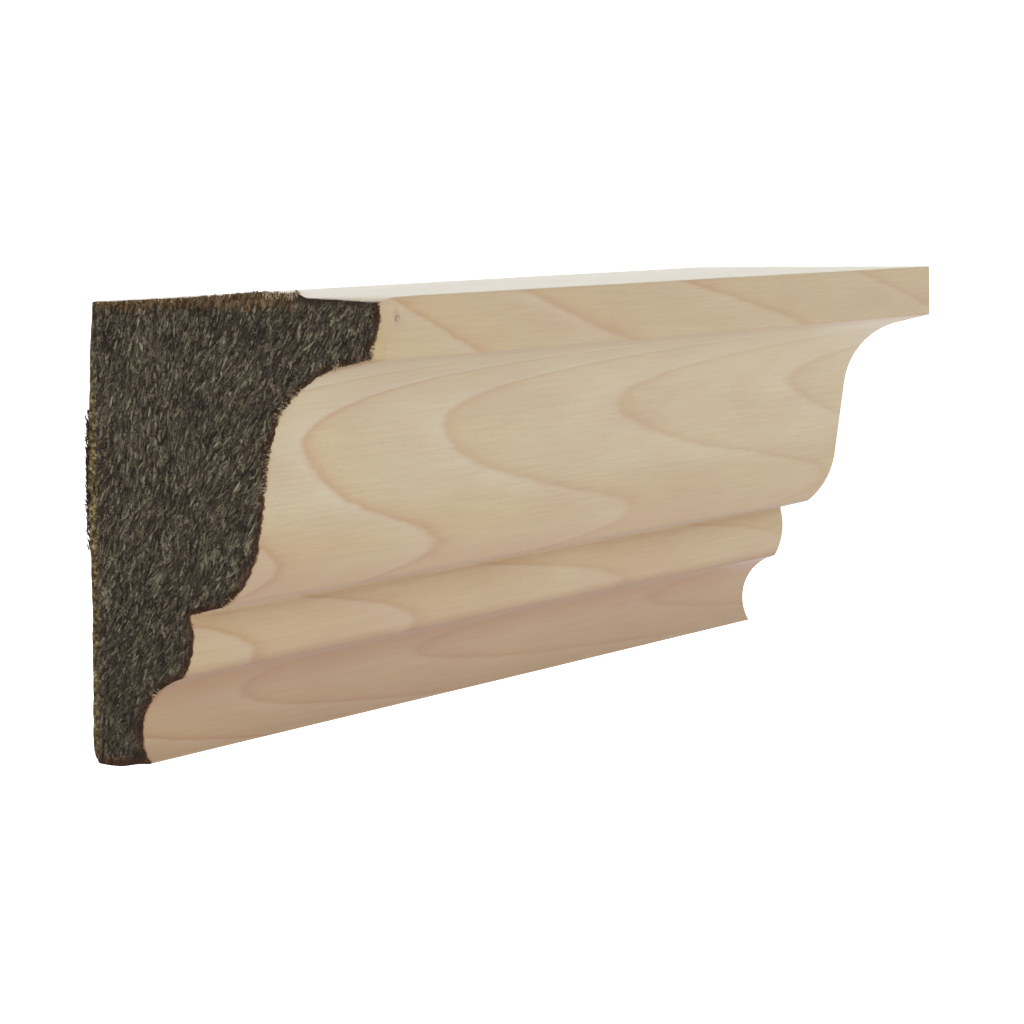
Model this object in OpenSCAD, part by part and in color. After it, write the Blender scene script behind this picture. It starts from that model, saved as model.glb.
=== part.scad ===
// Crown moulding: a short piece run from one solid board of maple.
// Its back is flat against the wall and its top flat against the ceiling.
// From the top down the face has a fascia, an ogee of a cove and a belly,
// an undercut lip, a shallow bead and a scotia that runs out at the foot.
// All sizes are in millimetres and all angles in degrees.

/* [Overall] */
// Length between the two square-cut ends
length = 254; // [60:1:1200]
// Height of the back, up the wall
height = 57; // [47:0.5:100]
// Projection of the fascia from the wall
projection = 38; // [31.5:0.5:70]

/* [Fascia] */
// Height of the flat band at the top
fascia_h = 7.7; // [5:0.1:12]
// Slope of the undersides of the fascia and of the lip
undercut = 13; // [6:0.5:20]

/* [Ogee] */
// Radius of the cove under the fascia
cove_r = 11.4; // [8:0.1:14]
// Distance from the wall to the hollow of the cove
hollow_out = 23.7; // [19.5:0.1:28.5]
// How far the front of the belly lies behind the hollow of the cove
belly_setback = 1.4; // [0.5:0.1:3]
// Radius of the belly
belly_r = 12; // [9.5:0.1:15]

/* [Lip] */
// Height of the inner corner under the lip, above the foot
lip_rise = 18.3; // [15.2:0.1:22]
// Overhang of the lip past the bead
lip_out = 4.6; // [3:0.1:6]

/* [Bead] */
// Distance from the wall to the crest of the bead
bead_out = 13.4; // [11:0.1:16.1]
// Height of the crest of the bead, above the foot
bead_rise = 15.6; // [13:0.1:18.8]
// Radius of the face of the bead
bead_r = 10; // [8:0.1:12]

/* [Scotia] */
// Thickness of the wood behind the hollow of the scotia
web_t = 6.6; // [4:0.1:8]
// Height of the centre of the scotia, above the foot
scotia_rise = 3.7; // [2.5:0.1:5]
// Radius of the scotia
scotia_r = 7; // [5.8:0.1:8.4]

/* [Hidden] */

// Smoothness of the round faces
$fn = 128;
// How far an outline is drawn past the board that trims it
past = 5;

// The section is drawn with x out from the wall and y up from the foot.

// Point at distance r from the point c, at an angle a above level
function polar(c, r, a) = c + r * [cos(a), sin(a)];

// Half the width of a circle of radius r, at a height y off its centre
function half_chord(r, y) = sqrt(r * r - y * y);

// Bead, and the inner corner that its face makes with the lip
bead_c = [bead_out - bead_r, bead_rise];
lip_corner = [bead_c.x + half_chord(bead_r, lip_rise - bead_rise), lip_rise];

// Nose of the lip, at the front of its sloping underside
nose = lip_corner + lip_out * [1, tan(undercut)];

// Belly, whose face comes down to the nose
belly_x = hollow_out - belly_setback - belly_r;
belly_c = [belly_x, nose.y + half_chord(belly_r, nose.x - belly_x)];

// Cove, which leaves the sloping underside of the fascia without a corner
cove_x = hollow_out + cove_r;
soffit_end_x = cove_x - cove_r * sin(undercut);
soffit_end_y = height - fascia_h - (projection - soffit_end_x) * tan(undercut);
cove_c = [cove_x, soffit_end_y - cove_r * cos(undercut)];

// Straight stretch of the ogee: the line that touches the cove and the belly
span = belly_c - cove_c;
touch_a = 360 + atan2(span.y, span.x) - acos((cove_r + belly_r) / norm(span));
cove_end = polar(cove_c, cove_r, touch_a);
belly_start = polar(belly_c, -belly_r, touch_a);

// Scotia, and the front edge of the foot that it leaves
scotia_c = [web_t + scotia_r, scotia_rise];
foot_edge = [scotia_c.x - half_chord(scotia_r, scotia_rise), 0];

// Flat faces of the section. At each round face the outline goes by way of
// the centre of the arc, and a circle then adds or cuts the arc itself.
// What is drawn behind the wall is trimmed off by the board.
module flat_faces() {
    polygon([
        [-past, 0], foot_edge,
        scotia_c, bead_c,
        lip_corner,
        belly_c, belly_start,
        cove_end, cove_c,
        [soffit_end_x, soffit_end_y],
        [projection, height - fascia_h],
        [projection, height], [-past, height]
    ]);
}

// Everything above the sloping underside of the lip
module above_lip() {
    far = projection + past;
    polygon([
        lip_corner - far * [1, tan(undercut)],
        lip_corner + far * [1, tan(undercut)],
        [far, height + past], [-far, height + past]
    ]);
}

// Section of the moulding: the convex faces are added to the flat ones,
// and the cove and the scotia are cut from them
module section() {
    difference() {
        intersection() {
            square([projection, height]);
            union() {
                flat_faces();
                intersection() {
                    translate(belly_c) circle(r = belly_r);
                    above_lip();
                }
                translate(bead_c) circle(r = bead_r);
            }
        }
        translate(cove_c) circle(r = cove_r);
        translate(scotia_c) circle(r = scotia_r);
    }
}

// The moulding runs along X with its face towards -Y and its top at +Z.
// The origin is the centre of the back, on the wall.
module moulding() {
    color("#E0C4A0")
        rotate([90, 0, -90])
            translate([0, -height / 2, 0])
                linear_extrude(height = length, center = true)
                    section();
}

moulding();
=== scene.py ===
"""A sawn length of maple crown moulding, with a torn end under dark stain.

The script runs from top to bottom: the moulding, the fibres on its torn end, then the floor, the light
and the camera. Sizes are in millimetres unless a comment says otherwise.
"""

import bpy
import numpy as np
from mathutils import Matrix, Vector


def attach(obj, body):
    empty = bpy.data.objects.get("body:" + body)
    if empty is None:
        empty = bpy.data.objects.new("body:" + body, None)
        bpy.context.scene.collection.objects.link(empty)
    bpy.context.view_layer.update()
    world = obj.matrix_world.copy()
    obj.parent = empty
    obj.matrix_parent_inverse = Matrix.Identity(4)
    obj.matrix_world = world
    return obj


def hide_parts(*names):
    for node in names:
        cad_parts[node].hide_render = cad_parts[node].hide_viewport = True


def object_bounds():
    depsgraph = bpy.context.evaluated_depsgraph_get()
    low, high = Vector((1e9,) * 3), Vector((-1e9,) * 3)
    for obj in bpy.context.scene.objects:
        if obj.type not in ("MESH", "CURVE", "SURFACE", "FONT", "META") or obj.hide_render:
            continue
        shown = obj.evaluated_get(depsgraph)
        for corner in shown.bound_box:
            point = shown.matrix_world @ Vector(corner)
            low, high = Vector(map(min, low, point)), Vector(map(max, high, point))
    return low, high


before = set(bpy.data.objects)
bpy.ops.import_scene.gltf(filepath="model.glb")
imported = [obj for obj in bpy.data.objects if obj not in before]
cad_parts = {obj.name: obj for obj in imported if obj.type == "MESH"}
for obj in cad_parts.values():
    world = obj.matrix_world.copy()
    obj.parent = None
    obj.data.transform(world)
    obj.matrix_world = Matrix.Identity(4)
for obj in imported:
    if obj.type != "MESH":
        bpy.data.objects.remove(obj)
cad_low, cad_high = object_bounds()

# ----------------------------------------
# The moulding
# One length of hard maple, run through a moulder that cuts the crown in one pass, then sawn
# square at both ends. The left end is torn by a coarse saw and stained nearly black.
# ----------------------------------------

LENGTH = (cad_high.x - cad_low.x) * 1000.0
HEIGHT = (cad_high.z - cad_low.z) * 1000.0
PROJECTION = (cad_high.y - cad_low.y) * 1000.0

# The crown's own sizes. UP and RISE are heights over the foot, and OUT is out from the wall.
FASCIA_HEIGHT = 7.7
UNDERCUT = np.radians(13.0)
COVE_RADIUS = 11.4
HOLLOW_OUT = 23.7
BELLY_SETBACK = 1.4
BELLY_RADIUS = 12.0
LIP_RISE = 18.3
LIP_OUT = 4.6
BEAD_OUT = 13.4
BEAD_RISE = 15.6
BEAD_RADIUS = 10.0
WEB = 6.6
SCOTIA_RISE = 3.7
SCOTIA_RADIUS = 7.0

ARRIS_EASE = 0.22
WHOLE_TURN = 2.0 * np.pi
LATTICE = 256


def lattice_noise(u, v, cell_u, cell_v, seed):
    """Smooth random heights from -1 to 1: random values at the corners of cells of cell_u by cell_v, and
    between them the smoothstep blend of the four corners."""
    lattice = np.random.default_rng(seed).uniform(-1.0, 1.0, (LATTICE, LATTICE))
    a, b = np.broadcast_arrays(np.asarray(u, float) / cell_u, np.asarray(v, float) / cell_v)
    i, j = np.floor(a).astype(int), np.floor(b).astype(int)
    s, t = a - i, b - j
    s, t = s * s * (3.0 - 2.0 * s), t * t * (3.0 - 2.0 * t)
    i0, i1, j0, j1 = i % LATTICE, (i + 1) % LATTICE, j % LATTICE, (j + 1) % LATTICE
    low = lattice[i0, j0] * (1.0 - s) + lattice[i1, j0] * s
    high = lattice[i0, j1] * (1.0 - s) + lattice[i1, j1] * s
    return low * (1.0 - t) + high * t


def arc(centre, radius, start, stop, count=90):
    """Points on a circle: centre plus radius times (cosine, sine) of an angle that goes evenly from start
    to stop."""
    angle = np.linspace(start, stop, count)[:, None]
    return centre + radius * np.hstack([np.cos(angle), np.sin(angle)])


def bearing(centre, point):
    """The angle from centre to point, anticlockwise from straight out of the wall."""
    return np.arctan2(point[1] - centre[1], point[0] - centre[0])


def crown_outline():
    """The closed outline of the section, as (out from the wall, up from the foot): along the top from the
    back, down the fascia, in along the undercut, round the cove, down the straight, round the belly to its
    nose, in along the lip, round the bead and the scotia to the foot, back to the wall and up it. It
    returns the points, how far along each lies, and how far along the corners lie."""
    slope = np.tan(UNDERCUT)
    bead = np.array([BEAD_OUT - BEAD_RADIUS, BEAD_RISE])
    lip = bead + [np.sqrt(BEAD_RADIUS**2 - (LIP_RISE - BEAD_RISE) ** 2), LIP_RISE - BEAD_RISE]
    nose = lip + LIP_OUT * np.array([1.0, slope])
    belly_x = HOLLOW_OUT - BELLY_SETBACK - BELLY_RADIUS
    belly = np.array([belly_x, nose[1] + np.sqrt(BELLY_RADIUS**2 - (nose[0] - belly_x) ** 2)])
    soffit_end_x = HOLLOW_OUT + COVE_RADIUS * (1.0 - np.sin(UNDERCUT))
    soffit_end_y = HEIGHT - FASCIA_HEIGHT - (PROJECTION - soffit_end_x) * slope
    cove = np.array([HOLLOW_OUT + COVE_RADIUS, soffit_end_y - COVE_RADIUS * np.cos(UNDERCUT)])
    span = belly - cove
    turn = WHOLE_TURN + bearing(cove, belly) - np.arccos((COVE_RADIUS + BELLY_RADIUS) / np.hypot(*span))
    scotia = np.array([WEB + SCOTIA_RADIUS, SCOTIA_RISE])
    gap = scotia - bead
    reach = np.hypot(*gap)
    share = (reach**2 + BEAD_RADIUS**2 - SCOTIA_RADIUS**2) / (2.0 * reach)
    quirk = bead + (share * gap - np.sqrt(BEAD_RADIUS**2 - share**2) * np.array([gap[1], -gap[0]])) / reach
    foot = np.array([scotia[0] - np.sqrt(SCOTIA_RADIUS**2 - SCOTIA_RISE**2), 0.0])
    parts = [
        np.array([[0.0, HEIGHT], [PROJECTION, HEIGHT]]),
        np.array([[PROJECTION, HEIGHT - FASCIA_HEIGHT]]),
        arc(cove, COVE_RADIUS, np.pi / 2.0 + UNDERCUT, turn),
        arc(belly, BELLY_RADIUS, turn - np.pi, bearing(belly, nose)),
        arc(bead, BEAD_RADIUS, bearing(bead, lip), bearing(bead, quirk)),
        arc(scotia, SCOTIA_RADIUS, bearing(scotia, quirk) % WHOLE_TURN, bearing(scotia, foot) % WHOLE_TURN),
        np.array([[0.0, 0.0], [0.0, HEIGHT]]),
    ]
    points = np.vstack(parts)
    # Where two parts meet, the shared point is kept once.
    points = points[np.r_[True, np.hypot(*np.diff(points, axis=0).T) > 1e-6]]
    along = np.r_[0.0, np.cumsum(np.hypot(*np.diff(points, axis=0).T))]
    marks = {"top": [PROJECTION, HEIGHT], "fascia": [PROJECTION, HEIGHT - FASCIA_HEIGHT], "nose": nose,
             "lip": lip, "quirk": quirk, "foot": foot, "heel": [0.0, 0.0]}
    marks = {name: along[np.hypot(*(points - place).T).argmin()] for name, place in marks.items()}
    return points, along, marks


outline, outline_along, corner = crown_outline()
GIRTH = outline_along[-1]


def sharp_outline(along):
    """The outline's point at each distance along it, going round more than once if need be."""
    turned = np.mod(along, GIRTH)
    return np.stack([np.interp(turned, outline_along, outline[:, 0]),
                     np.interp(turned, outline_along, outline[:, 1])], axis=-1)


def eased_outline(along):
    """The outline with its arrises eased: each point is the mean of the outline over ARRIS_EASE either
    side of it."""
    steps = np.linspace(-ARRIS_EASE, ARRIS_EASE, 9)
    return sharp_outline(np.asarray(along)[..., None] + steps).mean(axis=-2)


def unit(vectors):
    """Each row of vectors at a length of 1."""
    return vectors / np.linalg.norm(vectors, axis=1)[:, None]


def ways(outline_at, along, step):
    """The way along an outline, from its point step before to its point step after, and the way out."""
    way = unit(outline_at(along + step) - outline_at(along - step))
    return way, np.stack([-way[:, 1], way[:, 0]], axis=-1)


def spread(start, stop, count, pitch, fine):
    """count + 1 distances from start to stop. They are crowded where the density 1/pitch + the sum of
    gain * exp(-(distance from the place / width)) is high, for each (place, gain, width) in fine."""
    at = np.linspace(start, stop, 20001)
    density = 1.0 / pitch + sum(gain * np.exp(-np.abs(at - place) / width) for place, gain, width in fine)
    total = np.r_[0.0, np.cumsum((density[1:] + density[:-1]) / 2.0)]
    return np.interp(np.linspace(0.0, total[-1], count + 1), total, at)


# Rows go down the moulded face, columns across an end, and stations along the piece. They crowd at the
# corners and under the torn end, where the surface bends most.
ROWS = 250
COLUMNS = 100
STATIONS = 62

CORNER_CROWD = 7.0
CORNER_REACH = 0.25
corners = [(corner[name], CORNER_CROWD, CORNER_REACH)
           for name in ("top", "fascia", "nose", "lip", "quirk", "foot")]
row_along = spread(corner["top"], corner["foot"], ROWS, 0.34, corners)
row_height = sharp_outline(row_along)[:, 1]
column = spread(0.0, 1.0, COLUMNS, 0.01, [(0.0, 150.0, 0.006), (1.0, 150.0, 0.006)])

# The ring goes round the section: top edge, moulded face, foot, back.
ring_along = np.r_[column[:-1] * corner["top"],
                   row_along[:-1],
                   corner["foot"] + column[:-1] * (corner["heel"] - corner["foot"]),
                   corner["heel"] + row_height[::-1][:-1]]
RING = len(ring_along)
ring_points = eased_outline(ring_along)
_, ring_out = ways(eased_outline, ring_along, 0.05)

station = spread(0.0, LENGTH, STATIONS, 7.0, [(0.0, 4.6, 4.0), (LENGTH, 5.0, 0.8)])


# The saw tore the end in streaks that lean this far from straight out of the wall.
STREAK_LEAN = np.radians(68.0)
STREAK_WIDTH = 0.42
STREAK_LENGTH = 1.9
TORN_DEPTH = 0.22
STREAK_DEPTH = 0.085
LUMP_DEPTH = 0.05
WAVE_DEPTH = 0.05


def torn_depth(out, up):
    """How far the torn end lies in from the saw's plane: streaks along the way the saw tore, smaller lumps,
    and a slow waviness. out and up are the place on the section."""
    swirl = 0.30 * lattice_noise(out, up, 7.0, 9.0, 3)
    across = out * np.sin(STREAK_LEAN) - up * np.cos(STREAK_LEAN) + 2.0 * swirl
    down = out * np.cos(STREAK_LEAN) + up * np.sin(STREAK_LEAN)
    streaks = lattice_noise(across, down, STREAK_WIDTH, STREAK_LENGTH, 4)
    lumps = lattice_noise(out, up, 0.7, 0.9, 5)
    waves = lattice_noise(out, up, 5.0, 7.0, 6)
    return TORN_DEPTH + STREAK_DEPTH * streaks + LUMP_DEPTH * lumps + WAVE_DEPTH * waves


# Wear round the torn end: each mark's depth, place and width, the distance along the moulding in which it
# fades, and the distance in from its own edge, its root.
NICK_DEPTH = 0.14
GOUGE_DEPTH = 0.44
NICK_FADE = 0.45
NICK_ROOT = 0.75
CHIP_DEPTH = 1.40
CHIP_PLACE = corner["fascia"] - 0.9
CHIP_WIDTH = 2.2
CHIP_FADE = 1.3
CHIP_ROOT = 2.8
BRUISE_DEPTH = 0.44
BRUISE_WIDTH = 6.5
BACK_BURR_DEPTH = 0.40
BACK_BURR_UP = 34.0
BACK_BURR_WIDTH = 8.0
BACK_FADE = 3.5
BACK_ROOT = 2.2
HEEL_DEPTH = 0.55
HEEL_WIDTH = 0.8
HEEL_FADE = 1.6
FRONT_DROP = 0.60
FRONT_WIDTH = 6.5
FRONT_FADE = 3.5
REAR_DROP = 0.42
REAR_WIDTH = 8.0
TOP_ROOT = 1.4
BURR_DEPTH = 0.55
BURR_HIGH = 25.5
BURR_END = 27.3
BURR_WIDTH = 10.0
BURR_EDGE = 0.7
BURR_FADE = 0.8
FOOT_SAG = 0.38
FOOT_SAG_OUT = 3.2
FOOT_SAG_WIDTH = 2.4
FOOT_FADE = 0.8
BREAK_DEPTH = 0.5
BREAK_UP = HEIGHT - FASCIA_HEIGHT - 1.0
BREAK_WIDTH = 2.2
BREAK_FADE = 0.9
BREAK_OUT = 29.5
BREAK_EDGE = 1.2
# Ragged edges vary over half a millimetre to two, and run about this far along the moulding.
RAGGED_RUN = 3.0


def hump(offset, width):
    """A smooth hump: 1 where offset is 0, falling as exp(-(offset / width) ** 2) on both sides."""
    return np.exp(-((offset / width) ** 2))


def worn(x, along, out, up, from_face, from_back):
    """The place on the section after wear, from its clean place. Near the torn end the moulded edge is
    nicked back towards the wall and the fascia's lower arris is chipped off; the back edge is bruised in
    at the top and pushed out into a burr at mid height; the top edge drops at its front corner and is
    drawn up into a burr behind it; the undercut is broken upwards; the foot sags; and the heel is
    chipped. The top's back corner drops too, less and less along the whole length. Each shift fades with
    the depth under its own edge, slowly enough that no two places cross."""
    chip = hump(along - CHIP_PLACE, CHIP_WIDTH)
    nicks = NICK_DEPTH * (1.0 + lattice_noise(along, x, 0.6, RAGGED_RUN, 11))
    nicks = nicks + GOUGE_DEPTH * np.clip(lattice_noise(along, x, 1.9, RAGGED_RUN, 12), 0.0, 1.0)
    nicks = nicks * (1.0 - chip) * np.exp(-x / NICK_FADE - from_face / NICK_ROOT)
    nicks = nicks + CHIP_DEPTH * chip * np.exp(-x / CHIP_FADE - from_face / CHIP_ROOT)
    bruise = BRUISE_DEPTH * hump(HEIGHT - up, BRUISE_WIDTH)
    bruise = bruise - BACK_BURR_DEPTH * hump(up - BACK_BURR_UP, BACK_BURR_WIDTH)
    bruise = (bruise + 0.05 * lattice_noise(up, x, 1.3, RAGGED_RUN, 14)) * np.exp(-x / BACK_FADE)
    heel = HEEL_DEPTH * hump(up, HEEL_WIDTH) * hump(x, HEEL_FADE)
    drop = FRONT_DROP * hump(PROJECTION - out, FRONT_WIDTH) * np.exp(-x / FRONT_FADE)
    drop = drop + REAR_DROP * hump(out, REAR_WIDTH) * np.clip(1.0 - x / LENGTH, 0.0, 1.0)
    drop = drop + 0.05 * (1.0 + lattice_noise(out, x, 0.8, RAGGED_RUN, 15)) * np.exp(-x / 0.6)
    burr = hump(np.clip(out, 0.0, BURR_HIGH) - BURR_HIGH, BURR_WIDTH)
    burr = burr * hump(np.clip(out - BURR_END, 0.0, None), BURR_EDGE) * np.exp(-x / BURR_FADE)
    burr = burr * (BURR_DEPTH + 0.22 * lattice_noise(out, x, 0.55, RAGGED_RUN, 17))
    sag = 0.03 * lattice_noise(out, x, 0.9, RAGGED_RUN, 16)
    sag = (sag - FOOT_SAG * hump(out - FOOT_SAG_OUT, FOOT_SAG_WIDTH)) * np.exp(-x / FOOT_FADE - up)
    broken = BREAK_DEPTH * hump(up - BREAK_UP, BREAK_WIDTH) * np.exp(-x / BREAK_FADE)
    broken = broken / (1.0 + np.exp((BREAK_OUT - out) / BREAK_EDGE))
    return (out - nicks + (bruise + heel) * np.exp(-from_back / BACK_ROOT),
            up - (drop - burr) * np.exp(-(HEIGHT - up) / TOP_ROOT) + sag + broken)


DENT_DEPTH = 0.26
DENT_IN = 6.3
DENT_DOWN = 2.65
ROLLER_WAVE = 0.02


def hollows(x, along):
    """How far the side lies in from its clean place: the small dent in the fascia, and a waviness of a few
    hundredths of a millimetre from the moulder's rollers, which stops short of the torn end."""
    dent = DENT_DEPTH * hump(x - DENT_IN, 0.8) * hump(along - corner["top"] - DENT_DOWN, 0.5)
    return dent + ROLLER_WAVE * lattice_noise(x, along, 34.0, 9.0, 13) * (1.0 - np.exp(-x / 6.0))


def quads(grid, beside):
    """Four-sided faces on a grid of point numbers: each joins two points in turn down a column of grid to
    the two at the same rows of beside."""
    return np.stack([grid[:-1], grid[1:], beside[1:], beside[:-1]], axis=-1).reshape(-1, 4)


SETTLE = 1.2
SAW_PITCH = 0.9
SAW_DEPTH = 0.03


def moulding_mesh():
    """The moulding as one closed skin. Its side is the ring carried along the length; its ends are grids
    whose points lie between the back and the moulded face on each row. Both are then worn, and the torn
    end is pushed in by torn_depth, which dies away along the side as exp(-x / SETTLE). The far end has
    faint saw lines."""
    index = np.zeros((ROWS + 1, COLUMNS + 1), int)
    index[0, :-1] = np.arange(COLUMNS)
    index[:-1, -1] = COLUMNS + np.arange(ROWS)
    index[-1, ::-1][:-1] = COLUMNS + ROWS + np.arange(COLUMNS)
    index[::-1, 0][:-1] = 2 * COLUMNS + ROWS + np.arange(ROWS)
    place = ring_points[index]
    share = column[None, :, None]
    place[1:-1] = place[1:-1, :1] * (1.0 - share) + place[1:-1, -1:] * share
    along = np.broadcast_to(row_along[:, None], index.shape)
    from_face = place[:, -1:, 0] - place[..., 0]
    from_back = place[..., 0]
    from_face[0], from_face[-1] = PROJECTION - place[0, :, 0], place[-1, -1, 0] - place[-1, :, 0]

    def end(x):
        """The whole grid of one end, worn, at x."""
        return np.stack(worn(x, along, place[..., 0], place[..., 1], from_face, from_back), axis=-1)

    # The same three measures for the ring, read off the four edges of the grid.
    measures = np.stack([along, from_face, from_back], axis=-1)
    where = np.zeros((RING, 3))
    for edge in (np.s_[0], np.s_[-1], np.s_[:, 0], np.s_[:, -1]):
        where[index[edge]] = measures[edge]
    x = np.broadcast_to(station[:, None], (STATIONS + 1, RING))
    side = worn(x, where[:, 0], ring_points[:, 0], ring_points[:, 1], where[:, 1], where[:, 2])
    side = np.stack(side, axis=-1)
    side = side - ring_out * hollows(x, ring_along)[..., None]
    settle = np.exp(-station / SETTLE)[:, None] * torn_depth(side[0, :, 0], side[0, :, 1])
    side = np.dstack([x + settle, side])

    near, far = end(0.0)[1:-1, 1:-1], end(LENGTH)[1:-1, 1:-1]
    near = np.dstack([torn_depth(near[..., 0], near[..., 1]), near])
    saw_lines = 1.0 + lattice_noise(far[..., 0], far[..., 1], 40.0, SAW_PITCH, 21)
    far = np.dstack([LENGTH - SAW_DEPTH / 2.0 * saw_lines, far])
    vertices = np.vstack([side.reshape(-1, 3), near.reshape(-1, 3), far.reshape(-1, 3)])
    inner = np.arange((ROWS - 1) * (COLUMNS - 1)).reshape(ROWS - 1, COLUMNS - 1)
    near_index, far_index = index.copy(), index + STATIONS * RING
    near_index[1:-1, 1:-1] = side[..., 0].size + inner
    far_index[1:-1, 1:-1] = side[..., 0].size + inner.size + inner

    ring_index = np.arange(side[..., 0].size).reshape(STATIONS + 1, RING)
    side_faces = quads(ring_index, np.roll(ring_index, -1, axis=1))
    near_faces = np.roll(quads(near_index[:, 1:], near_index[:, :-1]), 1, axis=1)
    far_faces = quads(far_index[:, :-1], far_index[:, 1:])
    # Out from the wall is the row frame's -Y, which turns a shape inside out, so each face runs backwards.
    faces = np.vstack([side_faces, near_faces, far_faces])[:, ::-1]
    finish = np.repeat([0, 1, 2], [len(side_faces), len(near_faces), len(far_faces)])
    return vertices, faces, finish


def in_metres(points):
    """Points in mm from the torn end, out from the wall and up from the foot, put in the row frame."""
    return np.stack([cad_low.x + points[..., 0] / 1000.0,
                     cad_high.y - points[..., 1] / 1000.0,
                     cad_low.z + points[..., 2] / 1000.0], axis=-1)


def mesh_object(name, vertices, faces):
    """A mesh object at the origin with these vertices, in metres, and faces with one number of sides."""
    mesh = bpy.data.meshes.new(name)
    sides = faces.shape[1]
    mesh.vertices.add(len(vertices))
    mesh.vertices.foreach_set("co", vertices.astype(np.float32).ravel())
    mesh.loops.add(faces.size)
    mesh.loops.foreach_set("vertex_index", faces.astype(np.int32).ravel())
    mesh.polygons.add(len(faces))
    mesh.polygons.foreach_set("loop_start", np.arange(0, faces.size, sides, dtype=np.int32))
    mesh.update(calc_edges=True)
    mesh.validate()
    made = bpy.data.objects.new(name, mesh)
    bpy.context.scene.collection.objects.link(made)
    return made


def point_values(piece, name, values):
    """Stores one number for each vertex, for the material to read."""
    piece.data.attributes.new(name, "FLOAT", "POINT").data.foreach_set("value", values.astype(np.float32))


def edge_distance(out, up):
    """The distance from each place on the section to the moulded face or the foot, in mm, up to 4 mm: the
    least over points set every 0.3 mm along them."""
    step = 0.3
    farthest = 4.0
    edge = sharp_outline(np.arange(corner["top"] + step / 2.0, corner["heel"], step))
    nearest = np.full(np.shape(out), farthest)
    for place in edge:
        nearest = np.minimum(nearest, np.hypot(out - place[0], up - place[1]))
    return nearest


body_points, body_faces, body_finish = moulding_mesh()
moulding = mesh_object("crown_moulding", in_metres(body_points), body_faces)
moulding.data.polygons.foreach_set("material_index", body_finish.astype(np.int32))
moulding.data.polygons.foreach_set("use_smooth", np.ones(len(body_faces), bool))
point_values(moulding, "rim", edge_distance(body_points[:, 1], body_points[:, 2]))


def linear(code):
    """An sRGB hex colour as linear red, green, blue and 1."""
    parts = np.array([int(code[i:i + 2], 16) for i in (1, 3, 5)]) / 255.0
    parts = np.where(parts <= 0.04045, parts / 12.92, ((parts + 0.055) / 1.055) ** 2.4)
    return (*parts, 1.0)


def add(tree, kind, sockets=None, stops=None, **settings):
    """Adds one node. settings are its properties, sockets its inputs, each a value or the output that
    feeds it, and stops a colour ramp's (place, hex colour) pairs. It returns the node's outputs."""
    made = tree.nodes.new("ShaderNode" + kind)
    for name, value in settings.items():
        setattr(made, name, value)
    for name, value in (sockets or {}).items():
        if isinstance(value, bpy.types.NodeSocket):
            tree.links.new(value, made.inputs[name])
        else:
            made.inputs[name].default_value = value
    for i, (place, code) in enumerate(stops or ()):
        element = made.color_ramp.elements[i] if i < 2 else made.color_ramp.elements.new(place)
        element.position = place
        element.color = linear(code)
    return made.outputs


# A Mix node fades from one colour to another with the first of these, and multiplies them with the second.
FADE = {"data_type": "RGBA"}
TINT = {"data_type": "RGBA", "blend_type": "MULTIPLY"}
# Bump takes heights in mm times this, to give metres.
MM = 0.001


def new_material(name):
    """An empty material, its node tree and its millimetre coordinates: x along the grain from the torn
    end, y out from the wall, z up from the foot."""
    made = bpy.data.materials.new(name)
    made.use_nodes = True
    tree = made.node_tree
    tree.nodes.clear()
    place = add(tree, "TexCoord")["Object"]
    place = add(tree, "Mapping", {
        "Vector": place, "Scale": (1000.0, -1000.0, 1000.0),
        "Location": (-1000.0 * cad_low.x, 1000.0 * cad_high.y, -1000.0 * cad_low.z)})
    return made, tree, place["Vector"]


# Hard maple off the moulder, unfinished: pale cream wood with thin pinkish-brown late-wood lines, a fine
# straight fibre and no open pores. The knives leave it smooth but not polished, so it is matt.
# The tree's rings are nearly round, and the tree tapers along the board. A ring surface is where
#   rho = hypot(up - RING_UP - RING_LEAN x, out + RING_BACK) - RING_BACK - drift(x) + wave(up, x)
# has the same value, so the moulded face cuts it into arches one behind the other.
RING_UP = 90.04
RING_BACK = 132.79
RING_LEAN = 0.0256
DRIFT = (0.0855, -2.5017e-4, 4.8378e-7)
WAVE = 0.4871
WAVE_UP = 0.2067
WAVE_ALONG = -0.0041
WAVE_START = 4.3901
RING_FIRST = 40.639
RING_GAP = 3.198
SLOW_WAVER = 0.5
QUICK_WAVER = 0.24


def drawn_noise(tree, place, cells, detail, roughness):
    """Noise from 0 to 1, drawn out: cells is how many of its cells lie in a millimetre each way."""
    drawn = add(tree, "VectorMath", {0: place, 1: cells}, operation="MULTIPLY")[0]
    noise = {"Vector": drawn, "Scale": 1.0, "Detail": detail, "Roughness": roughness}
    return add(tree, "TexNoise", noise)["Fac"]


def surface(tree, sockets, height=None):
    """Ends a material's tree in one shader with these sockets, and the relief that height gives in mm."""
    if height is not None:
        relief = add(tree, "Bump", {"Strength": 1.0, "Distance": MM, "Height": height})
        sockets = {**sockets, "Normal": relief[0]}
    shader = add(tree, "BsdfPrincipled", sockets)
    add(tree, "OutputMaterial", {"Surface": shader[0]})


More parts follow.
